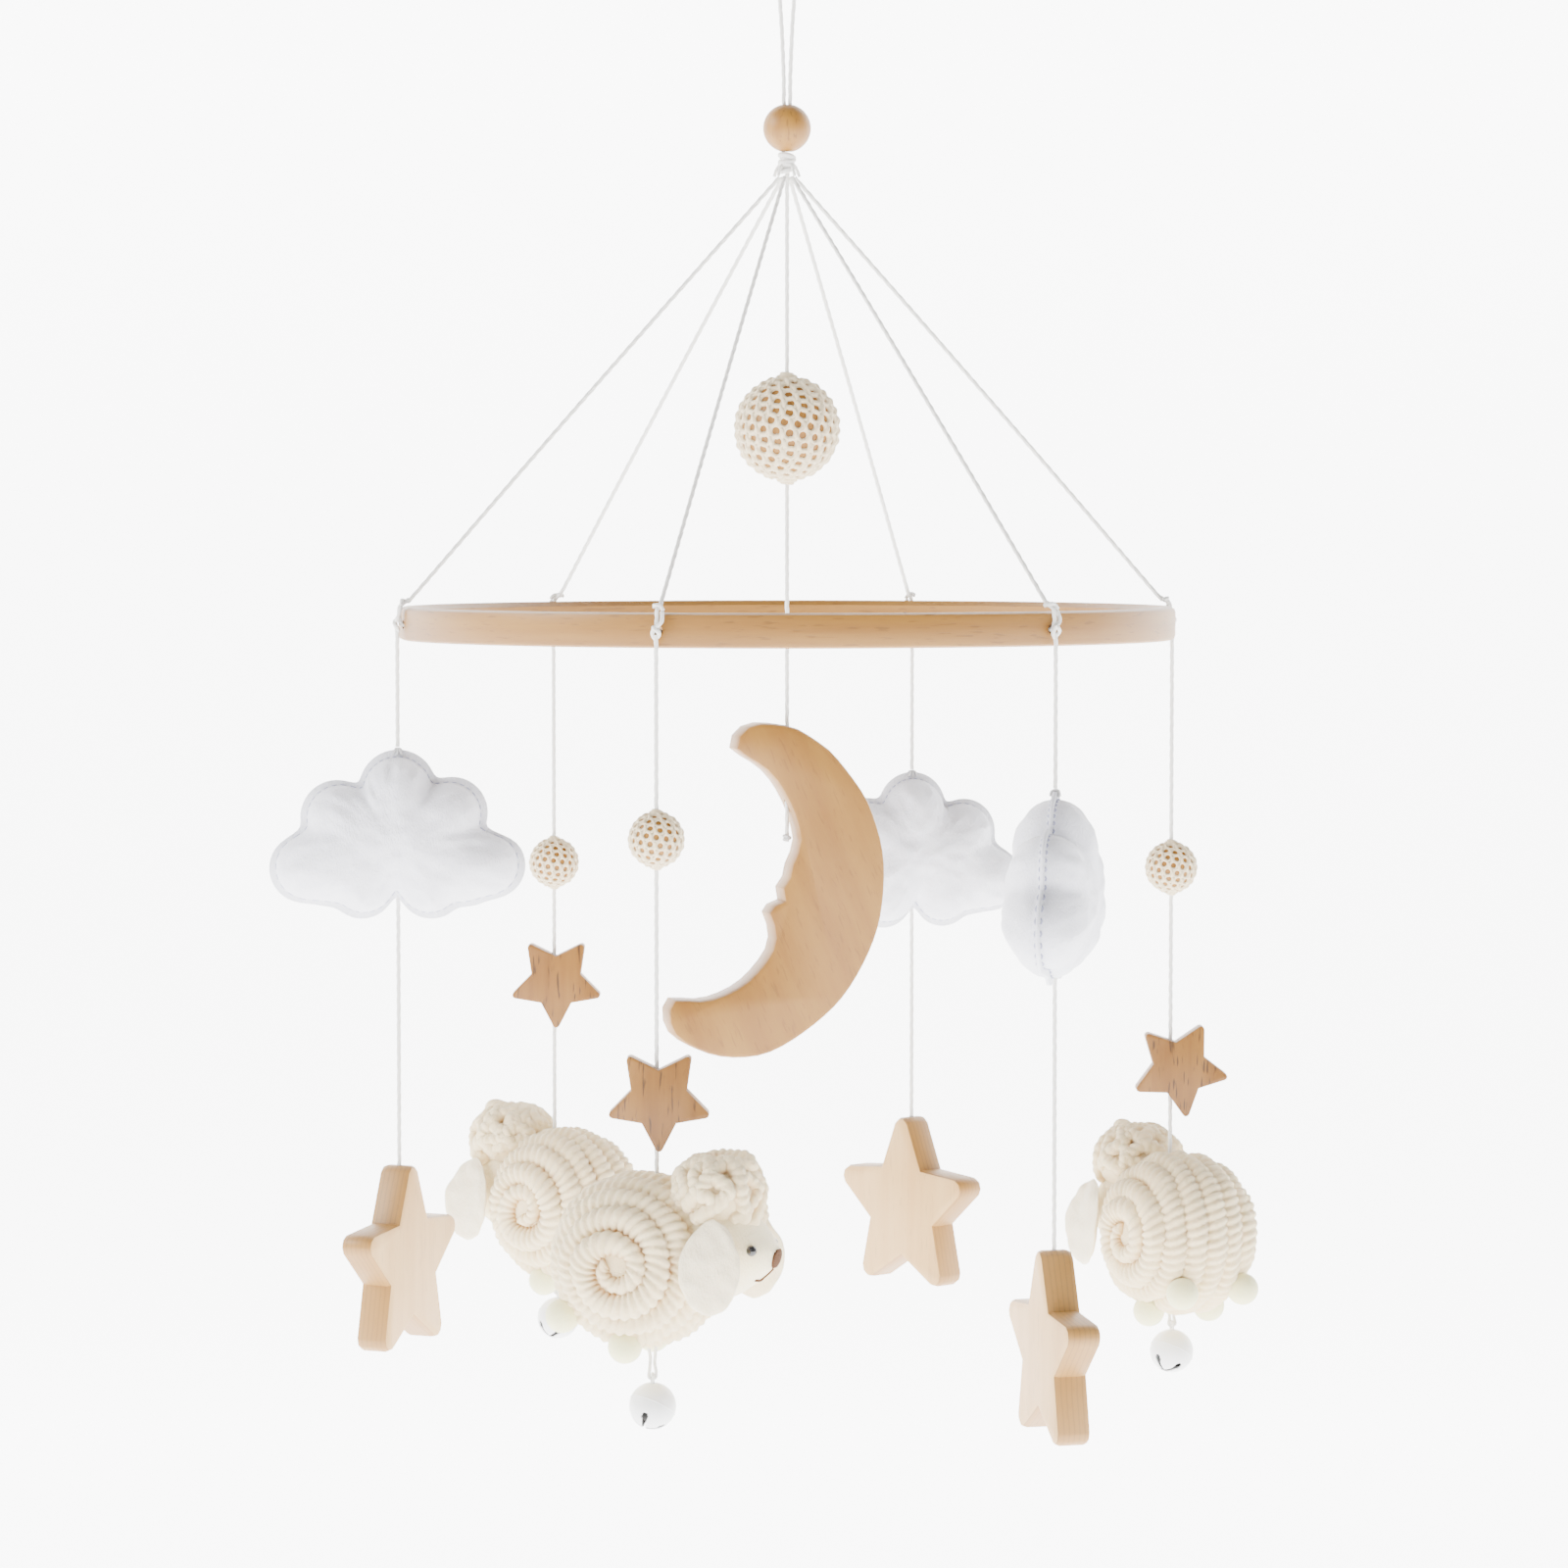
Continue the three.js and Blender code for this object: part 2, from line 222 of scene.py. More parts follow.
class Shader:
    """A small wrapper that adds and links shader nodes."""

    def __init__(self, name, roughness=0.7):
        self.material = bpy.data.materials.new(name)
        self.material.use_nodes = True
        self.tree = self.material.node_tree
        self.base = self.tree.nodes["Principled BSDF"]
        self.base.inputs["Roughness"].default_value = roughness
        self.coord = self.add("ShaderNodeTexCoord").outputs["Object"]

    def add(self, kind, **values):
        node = self.tree.nodes.new(kind)
        for key, value in values.items():
            if key in node.inputs:
                node.inputs[key].default_value = value
            else:
                setattr(node, key, value)
        return node

    def link(self, out, to):
        self.tree.links.new(out, to)
        return to.node

    def math(self, operation, a, b):
        node = self.add("ShaderNodeMath", operation=operation)
        for value, socket in ((a, node.inputs[0]), (b, node.inputs[1])):
            if isinstance(value, (int, float)):
                socket.default_value = value
            else:
                self.link(value, socket)
        return node.outputs[0]

    def noise(self, vector, scale, detail=3.0, rough=0.5):
        node = self.add("ShaderNodeTexNoise", Scale=scale, Detail=detail, Roughness=rough)
        self.link(vector, node.inputs["Vector"])
        return node.outputs["Fac"]

    def stretched(self, vector, scale, turn=(0, 0, 0)):
        node = self.add("ShaderNodeMapping")
        node.inputs["Scale"].default_value = scale
        node.inputs["Rotation"].default_value = turn
        self.link(vector, node.inputs["Vector"])
        return node.outputs["Vector"]

    def ramp(self, value, stops):
        node = self.add("ShaderNodeValToRGB")
        ramp = node.color_ramp
        while len(ramp.elements) < len(stops):
            ramp.elements.new(0.5)
        for element, (at, colour) in zip(ramp.elements, stops):
            element.position = at
            element.color = (*colour, 1)
        self.link(value, node.inputs["Fac"])
        return node.outputs["Color"]

    def mix(self, factor, a, b, blend="MIX"):
        node = self.add("ShaderNodeMix", data_type="RGBA", blend_type=blend)
        for value, socket in ((factor, node.inputs[0]), (a, node.inputs[6]), (b, node.inputs[7])):
            if isinstance(value, (int, float)):
                socket.default_value = value
            elif isinstance(value, tuple):
                socket.default_value = (*value, 1)
            else:
                self.link(value, socket)
        return node.outputs[2]

    def bump(self, height, strength, distance):
        node = self.add("ShaderNodeBump", Strength=strength, Distance=distance)
        self.link(height, node.inputs["Height"])
        last = self.base.inputs["Normal"].links
        if last:
            self.link(last[0].from_socket, node.inputs["Normal"])
        self.link(node.outputs["Normal"], self.base.inputs["Normal"])

    def colour(self, value):
        if isinstance(value, tuple):
            self.base.inputs["Base Color"].default_value = (*value, 1)
        else:
            self.link(value, self.base.inputs["Base Color"])


def wood(name, light, dark, grain, pores, turn=(0, 0, 0), round_ring=False, face=None, edge=None):
    """Oiled beech: soft bands along the grain, fine fibres, and short dark pores.
    Where face, a board's normal, is given, its sawn edges show the layers in the edge colour."""
    s = Shader(name, 0.48)
    vector = s.coord
    if round_ring:
        split = s.add("ShaderNodeSeparateXYZ")
        s.link(s.coord, split.inputs[0])
        angle = s.math("ARCTAN2", split.outputs["Y"], split.outputs["X"])
        along = s.math("MULTIPLY", angle, 0.13)
        flat = s.math("ADD", s.math("MULTIPLY", split.outputs["X"], split.outputs["X"]),
                      s.math("MULTIPLY", split.outputs["Y"], split.outputs["Y"]))
        join = s.add("ShaderNodeCombineXYZ")
        s.link(along, join.inputs["Z"])
        s.link(s.math("SQRT", flat, 0), join.inputs["X"])
        s.link(split.outputs["Z"], join.inputs["Y"])
        vector = join.outputs[0]
    else:
        vector = s.stretched(s.coord, (1, 1, 1), turn)
    bands = s.noise(s.stretched(vector, (grain, grain, grain * 0.07)), 1.0, 4, 0.55)
    fibre = s.noise(s.stretched(vector, (1500, 1500, 60)), 1.0, 2, 0.6)
    pore = s.noise(s.stretched(vector, (1100, 1100, 130)), 1.0, 1, 0.5)
    base = s.ramp(bands, [(0.32, dark), (0.5, tuple((a + b) / 2 for a, b in zip(light, dark))),
                          (0.68, light)])
    base = s.mix(s.math("MULTIPLY", fibre, 0.30), base, tuple(c * 0.72 for c in light))
    spots = s.ramp(pore, [(0.62, (0, 0, 0)), (0.70, (1, 1, 1))])
    base = s.mix(s.math("MULTIPLY", spots, pores), base, tuple(c * 0.30 for c in dark))
    if face:
        base = board_edges(s, base, face, edge)
    s.colour(base)
    s.bump(fibre, 0.15, 0.0002)
    s.bump(s.math("MULTIPLY", spots, -1.0), 0.35 * pores, 0.0003)
    return s.material


def board_edges(s, base, face, edge):
    """Mixes in the darker, layered look of a board's sawn edges."""
    normal = s.add("ShaderNodeVectorMath", operation="DOT_PRODUCT")
    s.link(s.coord.node.outputs["Normal"], normal.inputs[0])
    normal.inputs[1].default_value = face
    is_face = s.math("ABSOLUTE", normal.outputs["Value"], 0)
    across = s.add("ShaderNodeVectorMath", operation="DOT_PRODUCT")
    s.link(s.coord, across.inputs[0])
    across.inputs[1].default_value = face
    wander = s.math("MULTIPLY", s.noise(s.coord, 60, 2), 0.0012)
    depth = s.math("ADD", across.outputs["Value"], wander)
    layer = s.math("SINE", s.math("MULTIPLY", depth, 3600.0), 0)
    lines = s.ramp(layer, [(0.0, edge), (0.75, tuple(c * 0.9 for c in edge)),
                           (1.0, tuple(c * 0.62 for c in edge))])
    edge_look = s.mix(0.72, base, lines)
    return s.mix(s.ramp(is_face, [(0.80, (0, 0, 0)), (0.95, (1, 1, 1))]), edge_look, base)


def fibres(name, colour, shade, scale, strength, sheen=0.4, attribute=None, crease_shade_colour=None, glow=0.0):
    """Wool, felt or cotton: tangled fibres, a soft sheen, and where told, a darker, warmer painted shade
    in the creases.
    """
    s = Shader(name, 0.95)
    coarse = s.noise(s.coord, scale, 5, 0.65)
    fine = s.noise(s.stretched(s.coord, (1, 1, 0.35), (0.5, 0.9, 0.2)), scale * 6, 3, 0.6)
    base = s.mix(coarse, shade, colour)
    # Painted shade: the named attribute mixes in a darker, warmer crease colour.
    if attribute:
        node = s.add("ShaderNodeAttribute", attribute_name=attribute)
        base = s.mix(node.outputs["Fac"], base, crease_shade_colour)
    s.colour(base)
    s.base.inputs["Sheen Weight"].default_value = sheen
    s.base.inputs["Sheen Roughness"].default_value = 0.5
    s.base.inputs["Subsurface Weight"].default_value = glow
    s.base.inputs["Subsurface Radius"].default_value = (0.006, 0.004, 0.002)
    s.base.inputs["Subsurface Scale"].default_value = 0.6
    s.bump(coarse, strength * 0.6, 0.0008)
    s.bump(fine, strength, 0.0004)
    return s.material


def plain(name, colour, roughness, coat=0.0):
    """Paint, glass or near-black painted shade, each with a faint speckle."""
    s = Shader(name, roughness)
    speckle = s.noise(s.coord, 900, 3, 0.5)
    s.colour(s.mix(s.math("MULTIPLY", speckle, 0.12), colour, tuple(c * 0.8 for c in colour)))
    s.base.inputs["Coat Weight"].default_value = coat
    s.bump(speckle, 0.06, 0.0002)
    return s.material


BEECH_FACE = wood("beech_face", (0.33, 0.158, 0.022), (0.25, 0.105, 0.012), 110, 0.25, turn=(0, 0.42, 0))
BIG_STAR_YAWS = {1: 67, 2: -48, 3: -75}
BIG_STARS = {
    n: wood(f"beech_star_{n}", (0.62, 0.385, 0.150), (0.52, 0.29, 0.09), 90, 0.18,
            face=(math.sin(math.radians(yaw)), -math.cos(math.radians(yaw)), 0),
            edge=(0.28, 0.125, 0.014))
    for n, yaw in BIG_STAR_YAWS.items()}
BEECH_SMALL = wood("beech_small", (0.25, 0.108, 0.012), (0.18, 0.068, 0.006), 260, 0.9)
BEECH_RING = wood("beech_ring", (0.30, 0.142, 0.018), (0.22, 0.092, 0.009), 170, 0.35, round_ring=True)
BEECH_BALL = wood("beech_ball", (0.36, 0.172, 0.024), (0.26, 0.110, 0.012), 220, 0.4)
COTTON = fibres("cotton_cord", (0.88, 0.87, 0.83), (0.72, 0.70, 0.66), 2600, 0.5, 0.3)
CROCHET = fibres("crochet_cotton", (0.88, 0.76, 0.54), (0.72, 0.57, 0.34), 2200, 0.5, 0.3)
FELT = fibres("white_felt", (0.87, 0.87, 0.92), (0.72, 0.72, 0.80), 330, 0.9, 0.5)
# Lavender-grey seam thread, made darker as painted shade of the groove along the seam.
SEAM_THREAD_SHADE = fibres("seam_thread_painted_shade", (0.44, 0.44, 0.60), (0.34, 0.34, 0.50), 1800, 0.4)
# The darker, warmer crease colour is painted shade, laid in where the rope's attribute marks its
# creases.
WOOL = fibres("wool_rope", (0.96, 0.81, 0.53), (0.89, 0.69, 0.37), 700, 0.9, 0.4, "painted_crease_shade",
              (0.62, 0.32, 0.06), 0.12)
FLEECE = fibres("felted_wool", (0.93, 0.83, 0.57), (0.84, 0.71, 0.43), 420, 0.9, 0.5, glow=0.12)
EAR = fibres("ear_felt", (0.92, 0.82, 0.61), (0.80, 0.68, 0.46), 260, 0.9, 0.5, glow=0.1)
FOOT = fibres("foot_felt", (0.88, 0.86, 0.52), (0.80, 0.77, 0.40), 900, 0.4, 0.5, glow=0.1)
THREAD = fibres("grey_thread", (0.62, 0.61, 0.62), (0.5, 0.5, 0.5), 2600, 0.5)
BROWN = fibres("brown_thread", (0.14, 0.06, 0.022), (0.08, 0.03, 0.010), 2600, 0.6, 0.0)
PAINT = plain("matt_white_paint", (0.80, 0.80, 0.80), 0.42, coat=0.15)
# Near-black painted shade for the inside of each bell.
BELL_INSIDE_SHADE = plain("bell_inside_painted_shade", (0.02, 0.018, 0.015), 0.6)
BEAD_EYE = plain("glass_eye", (0.006, 0.005, 0.005), 0.12, coat=0.6)


# ---------- cords ----------

def twisted(radius, lobes=3, lay=0.0042):
    """A cord of a few strands. Along its side, the next strand comes round every lay metres."""
    def radius_at(s, angle, t):
        return radius * (0.87 + 0.13 * math.cos(lobes * (angle - 2 * math.pi * s / lay / lobes)))
    return radius_at


def cord(name, node, route, body):
    """A twisted cotton cord along its route, held by the object at both ends."""
    points = spaced(route, 0.00045)
    verts, faces = tube(points, twisted(CORD / 2), 12)
    thing = piece(name, verts, faces, COTTON, body, (node,))


def radial(azimuth, route):
    """A route of (radius, height above the ring) in millimetres, at an azimuth."""
    a = math.radians(azimuth)
    return [Vector((r * MM * math.cos(a), r * MM * math.sin(a), RING_Z + h * MM)) for r, h in route]


def straight(node, low_extra=0.0, high_extra=0.0):
    """Down the middle of a hanging cord's node, run on into what holds its ends."""
    low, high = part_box(node)
    x, y = (low.x + high.x) / 2, (low.y + high.y) / 2
    return [Vector((x, y, high.z + high_extra)), Vector((x, y, low.z - low_extra))]


def hang_loop():
    side = [(1.05, -87.6), (1.05, -70), (1.2, -60), (2.2, -40), (4.5, -18), (4.6, -8), (3.2, -2.6)]
    route = [Vector((-x, 0, z)) * MM for x, z in side] + [Vector((0, 0, -CORD / 2))]
    route += [Vector((x, 0, z)) * MM for x, z in reversed(side)]
    cord("hang_loop_cord", "hang_loop", route, "loop")


SPOKE = [(2.6, 148.6), (45, 101.5), (88, 53.2), (124.5, 11.6), (128.2, 8.1), (130.8, 6.3),
         (131.2, 4.2), (131.2, 1.8), (130.3, 0.1), (128.4, -0.3), (125.4, -0.4)]


def cords():
    hang_loop()
    for kind, lines in (("cloud", CLOUDS), ("sheep", SHEEP)):
        for number, line in lines.items():
            name = f"spoke_cord_{kind}_{number}"
            cord(name + "_twist", name, radial(line["azimuth"], SPOKE), "hoop")
    cord("centre_cord_twist", "centre_cord", straight("centre_cord"), "centre_line")
    for number in CLOUDS:
        body = f"cloud_line_{number}"
        upper, lower = f"cloud_cord_{number}", f"star_cord_{number}"
        cord(upper + "_twist", upper, straight(upper), body)
        cord(lower + "_twist", lower, straight(lower, high_extra=0.0012), body)
    for number in SHEEP:
        name = f"sheep_cord_{number}"
        cord(name + "_twist", name, straight(name, low_extra=0.002), f"sheep_line_{number}")


def gather_knot():
    """Four tight wraps around the six cords, with the cut ends sticking out below."""
    centre = Vector((0, 0, RING_Z + 0.1535))
    wraps = []
    for k, (height, tilt) in enumerate([(2.0, 0.25), (0.6, -0.2), (-0.9, 0.3), (-2.2, -0.25)]):
        wraps.append(torus(centre + Vector((0, 0, height * MM)), (tilt, 0.2 * (-1) ** k, 1),
                           0.0023, 0.0009, 20, 10))
    wraps.append(ball(centre, (0.0026, 0.0026, 0.003), 12, 16))
    tails = []
    for angle in (0.4, 1.5, 2.9, 4.0, 5.3):
        way = Vector((math.cos(angle), math.sin(angle), 0))
        tail = [centre, centre + way * 0.0028 + Vector((0, 0, -0.001)),
                centre + way * 0.0045 + Vector((0, 0, -0.0045))]
        tails.append(tube(spaced(tail, 0.0004), twisted(0.0006), 8))
    v, f = merged(wraps + tails)
    piece("gather_knot_wraps", v, f, COTTON, "hoop", ("gather_knot",))


# Each ring hitch, in millimetres: (along the ring, outward, up) from the rim's middle.
HITCH = (
    [(1.6, -0.9, 5.9), (1.9, -0.1, 3.8), (1.1, 0.5, 1.9), (-0.7, 0.8, 0.6),
     (-1.1, 0.3, -1.2), (-0.2, 0, -2.8)],
    [(-1.8, -3.2, 7.4), (-1.0, -1.6, 7.9), (0.9, -1.2, 7.7), (1.9, -0.8, 6.3)],
    [(-0.9, 0.9, 1.2), (0.2, 1.2, 0.3), (1.1, 0.6, -0.8), (0.5, -0.1, -2.0)],
)


def ring_hitch(name, azimuth):
    """Where a line is tied off over the rim."""
    a = math.radians(azimuth)
    out = Vector((math.cos(a), math.sin(a), 0))
    sideways = Vector((-math.sin(a), math.cos(a), 0))
    base = out * 0.1316 + Vector((0, 0, RING_Z))
    loops = []
    for route in HITCH:
        run = [base + sideways * u * MM + out * o * MM + Vector((0, 0, h * MM)) for u, o, h in route]
        loops.append(tube(spaced(run, 0.0004), twisted(CORD / 2), 10))
    v, f = merged(loops)
    piece(name, v, f, COTTON, "hoop")


def moon_knot():
    """The knot that the moon rests on."""
    low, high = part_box("centre_cord")
    knot = Vector(((low.x + high.x) / 2, (low.y + high.y) / 2, low.z + 0.0016))
    v, f = merged([torus(knot, (0.3, 0.2, 1), 0.0010, 0.0006, 14, 8),
                   torus(knot + Vector((0, 0, -0.0006)), (-0.3, 0.1, 1), 0.0010, 0.0006, 14, 8)])
    piece("moon_knot", v, f, THREAD, "centre_line")


def knots():
    gather_knot()
    for kind, lines in (("cloud", CLOUDS), ("sheep", SHEEP)):
        for number, line in lines.items():
            ring_hitch(f"ring_hitch_{kind}_{number}", line["azimuth"])
    moon_knot()


# ---------- wood ----------

def finish_wood():
    """The CAD boards and the ring keep their shape and get soft shading and beech."""
    for name, node in NODES.items():
        if name == "wood_ring":
            material = BEECH_RING
        elif name == "moon":
            material = BEECH_FACE
        elif name.startswith("big_star_"):
            material = BIG_STARS[int(name[-1])]
        elif name.startswith("small_star_"):
            material = BEECH_SMALL
        else:
            continue
        node.data.materials.clear()
        node.data.materials.append(material)
        weld = node.modifiers.new("weld", "WELD")
        weld.merge_threshold = 0.00001
        node.data.polygons.foreach_set("use_smooth", [True] * len(node.data.polygons))
        split = node.modifiers.new("edges", "EDGE_SPLIT")
        split.split_angle = math.radians(38)


def bead(name, radius, bore, body, node):
    """A turned wood ball with a straight bore."""
    start = math.asin(bore / radius)
    steps = 28
    arc = []
    for i in range(steps + 1):
        angle = start + (math.pi - 2 * start) * i / steps
        arc.append((radius * math.sin(angle), -radius * math.cos(angle)))
    v, f = lathe(arc, 56, centre_of(node))
    piece(name, v, f, BEECH_BALL, body, (node,))


def centre_of(node):
    low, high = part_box(node)
    return (low + high) / 2


# ---------- crochet balls ----------

def crochet(name, node, radius, pitch, row, yarn, body):
    """Rows of yarn rings in a brick pattern over a sphere, closed at both poles by a tight ring.
    pitch is the width of a stitch, row the height of a row and yarn the yarn's thickness."""
    centre = centre_of(node)
    tilt = Matrix.Rotation(math.radians(9), 3, "Y")
    rows = int(round(math.pi * radius * 0.90 / row))
    rings = []
    inner = radius - yarn
    for i in range(rows):
        polar = math.radians(14) + (math.pi - math.radians(28)) * i / (rows - 1)
        around = max(5, int(round(2 * math.pi * inner * math.sin(polar) / pitch)))
        for k in range(around):
            angle = 2 * math.pi * (k + 0.5 * (i % 2)) / around
            way = Vector((math.sin(polar) * math.cos(angle), math.sin(polar) * math.sin(angle),
                          math.cos(polar)))
            way = tilt @ way
            wobble = 1 + 0.05 * noise.noise(way * 9)
            rings.append(torus(centre + way * inner, way, pitch * 0.43 * wobble, yarn * 0.54, 14, 7))
            side = way.cross(Vector((0, 0, 1))).normalized()
            up = side.cross(way)
            low = centre + way * inner + side * pitch * 0.5
            knot = [low - up * row * 0.42, low + way * yarn * 0.45, low + up * row * 0.42]
            rings.append(tube(spaced(knot, 0.0005), twisted(yarn * 0.55, 2, 0.003), 7))
    for end in (1, -1):
        collar = centre + Vector((0, 0, end * (radius - yarn * 0.7)))
        rings.append(torus(collar, (0, 0, 1), yarn * 1.9, yarn * 0.7, 20, 8))
        rings.append(torus(collar + Vector((0, 0, end * yarn * 0.7)), (0.1, 0, 1),
                           yarn * 1.25, yarn * 0.55, 20, 8))
    v, f = merged(rings)
    piece(name, v, f, CROCHET, body, (node,))


# ---------- clouds ----------

# A cloud is overlapping rounds, (across, up, radius) in millimetres. Its middle is MIDDLE up.
LOBES = [(0, 43.5, 13), (-20, 34, 12.5), (18, 35.5, 12), (-31, 17, 12), (31, 18, 11.5),
         (-12, 11.5, 11.5), (11, 11.5, 11.5), (-23, 14, 10), (23, 14, 10), (0, 16.4, 8.4)]
MIDDLE = 27
CLOUD_POINTS = 150
CLOUD_RINGS = 26
CLOUD_FULL = 13.8
FELT_THICK = 0.62


def cloud_reach(angle):
    """How far the outline is from the middle in one direction."""
    x, y = math.cos(angle), math.sin(angle)
    reach = 10
    for cx, cy, r in LOBES:
        along = x * cx + y * (cy - MIDDLE)
        across = cx * cx + (cy - MIDDLE) ** 2 - along * along
        if r * r > across:
            reach = max(reach, along + math.sqrt(r * r - across))
    return reach


def cloud_edge():
    """The sewn edge as flat points around the cloud's middle, its notches a little softened."""
    edge = []
    for i in range(CLOUD_POINTS):
        angle = 2 * math.pi * i / CLOUD_POINTS
        reach = cloud_reach(angle) - 0.2
        edge.append(Vector((reach * math.cos(angle), reach * math.sin(angle))))
    for _ in range(3):
        edge = [(edge[i - 1] + edge[i] * 2 + edge[(i + 1) % CLOUD_POINTS]) / 4
                for i in range(CLOUD_POINTS)]
    return edge


def cloud_heights(seam):
    """Rings of (x, height, z, distance from the seam), each a smaller copy of the seam."""
    rings = []
    for k in range(1, CLOUD_RINGS):
        level = 1 - 0.5 * (1 - math.cos(math.pi * k / CLOUD_RINGS))
        ring = []
        for p in seam:
            q = p * level
            away = min((q - e).length for e in seam)
            rise = math.sqrt(max(0.0, 1 - (1 - min(away / 19.0, 1)) ** 2))
            ring.append([q.x, FELT_THICK + CLOUD_FULL * rise, q.y, away])
        rings.append(ring)
    for _ in range(8):
        for j in range(1, len(rings)):
            outer, inner = rings[j - 1], rings[min(j + 1, len(rings) - 1)]
            old = [point[1] for point in rings[j]]
            for i in range(CLOUD_POINTS):
                around = old[i - 1] + old[(i + 1) % CLOUD_POINTS] + outer[i][1] + inner[i][1]
                rings[j][i][1] = 0.5 * old[i] + 0.125 * around
    return rings


def cloud_face(number, edge, seam):
    """One felt face: the flat flange, then the puffed middle with its dents and seam puckers."""
    rings = [[(p.x, 0.55, p.y) for p in edge], [(p.x, FELT_THICK, p.y) for p in seam]]
    for ring in cloud_heights(seam):
        crumpled = []
        for x, height, z, away in ring:
            spot = Vector((x * 0.10, z * 0.10, number * 5.0))
            dents = 1.1 * noise.noise(spot) + 0.6 * noise.noise(spot * 2.4)
            fold = noise.noise(Vector((math.atan2(z, x) * 7.0, number * 9.0, 0)))
            pucker = 1.5 * fold * math.exp(-((away - 3.5) / 2.6) ** 2)
            crumpled.append((x, height + dents * min(1.0, away / 4) + pucker, z))
        rings.append(crumpled)
    return rings


def cloud_mesh(rings):
    """Both faces, closed at their middles and joined along the edge."""
    count = CLOUD_POINTS
    verts, faces = [], []
    for face in (-1, 1):
        base = len(verts)
        for ring in rings:
            verts += [Vector((x, y * face, z)) for x, y, z in ring]
        tip = len(verts)
        middle = sum(y for _, y, _ in rings[-1]) / count
        verts.append(Vector((0, face * middle, 0)))
        last = base + (len(rings) - 1) * count
        for j in range(len(rings) - 1):
            for i in range(count):
                k = (i + 1) % count
                quad = (base + j * count + i, base + j * count + k,
                        base + (j + 1) * count + k, base + (j + 1) * count + i)
                faces.append(quad if face < 0 else tuple(reversed(quad)))
        for i in range(count):
            tri = (last + i, last + (i + 1) % count, tip)
            faces.append(tri if face < 0 else tuple(reversed(tri)))
    half = len(verts) // 2
    for i in range(count):
        k = (i + 1) % count
        faces.append((i, half + i, half + k, k))
    return verts, faces


def cloud(number, line):
    """A stuffed felt cushion with a hand-sewn seam, stitched to its cord at the top."""
    edge = cloud_edge()
    seam = [p * (1 - 2.4 / p.length) for p in edge]
    place = cloud_place(number, line)
    body = f"cloud_{number}"
    v, f = moved(cloud_mesh(cloud_face(number, edge, seam)), place)
    cushion = piece(f"cloud_{number}_felt", v, f, FELT, body, (f"cloud_{number}",))
    stitches = []
    for i in range(0, CLOUD_POINTS, 2):
        a, b = seam[i], seam[(i + 1) % CLOUD_POINTS]
        for face in (-1, 1):
            run = [Vector((a.x, face * 0.75, a.y)),
                   Vector(((a.x + b.x) / 2, face * 1.15, (a.y + b.y) / 2)),
                   Vector((b.x, face * 0.75, b.y))]
            stitches.append(tube(spaced(run, 0.5), even(0.27), 6))
    v, f = moved(merged(stitches), place)
    # The stitches carry the painted shade of the seam's groove.
    piece(f"cloud_{number}_seam_stitches", v, f, SEAM_THREAD_SHADE, body)
    tops = []
    for u in (-1.4, 0.1, 1.5):
        run = [Vector((u, -1.3, 27.8)), Vector((u * 0.4, -0.9, 29.4)),
               Vector((u * 0.6, 1.0, 29.3)), Vector((u, 1.4, 27.9))]
        tops.append(tube(spaced(run, 0.4), even(0.4), 8))
    v, f = moved(merged(tops), place)
    piece(f"cloud_{number}_top_stitches", v, f, THREAD, body)


def cloud_place(number, line):
    """Moves a cloud from millimetres about its middle to its place under the ring."""
    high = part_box(f"cloud_{number}")[1]
    a = math.radians(line["azimuth"])
    x, y = LINE_RADIUS * math.cos(a), LINE_RADIUS * math.sin(a)
    size = line["size"]
    middle = Vector((x, y, high.z - 0.0295 * size))
    turn = Matrix.Rotation(math.radians(line["yaw"]), 4, "Z")
    return Matrix.Translation(middle) @ turn @ Matrix.Diagonal((MM * size, MM, MM * size, 1))


# ---------- sheep ----------

def wool(name, points, radius, body, depth, stands_for=()):
    """A carded wool rope with slanting ribs. depth(point) is near 0 on the outside of the coil
    and grows inwards, and sets how much darker, warmer painted shade each point gets in the creases."""
    rib = 0.0027
    chance = random.Random(len(points))
    shift = chance.random() * 6

    def radius_at(s, angle, t):
        rib_wave = abs(math.sin(math.pi * (s / rib + 0.45 * math.sin(angle + shift)))) ** 0.7
        spot = Vector((s * 150, 0.9 * math.cos(angle), 0.9 * math.sin(angle) + shift))
        soft = 1 + 0.16 * noise.noise(spot) + 0.05 * math.sin(s * 210 + shift)
        taper = min(1.0, 0.45 + 14 * min(t, 1 - t))
        return radius * (0.82 + 0.27 * rib_wave) * soft * taper

    v, f = tube(points, radius_at, 18)
    rope = piece(name, v, f, WOOL, body, stands_for)
    # Painted shade: the deeper a point lies in the coil, the more of the darker, warmer crease colour it
    # gets.
    crease_shade_layer = rope.data.attributes.new("painted_crease_shade", "FLOAT", "POINT")
    values = [max(0.0, min(1.0, (depth(co) - 0.30) / 0.42)) for co in v]
    crease_shade_layer.data.foreach_set("value", values)


def sheep_place(number, line):
    """Sheep are made in millimetres facing +X, with the cord meeting the back at the origin."""
    a = math.radians(line["azimuth"])
    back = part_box(f"sheep_cord_{number}")[0].z - 0.0006
    origin = Vector((LINE_RADIUS * math.cos(a), LINE_RADIUS * math.sin(a), back))
    turn = Matrix.Rotation(math.radians(line["heading"]), 4, "Z")
    return Matrix.Translation(origin) @ turn @ Matrix.Scale(MM, 4)


def sheep(number, line):
    body = f"sheep_{number}"
    place = sheep_place(number, line)
    sheep_body(number, body, place)
    sheep_head(number, body, place)
    sheep_face(number, body, place)
    sheep_ears(number, body, place)
    sheep_topknot(number, body, place)


BODY_MIDDLE = Vector((-5.5, 0, -27.8))
BODY_SIZE = Vector((28, 26, 27.5))
BODY_ROPE = 4.3
BODY_TURNS = 9.6
FEET_ALONG = ((-27, -45), (-6, -53.5))


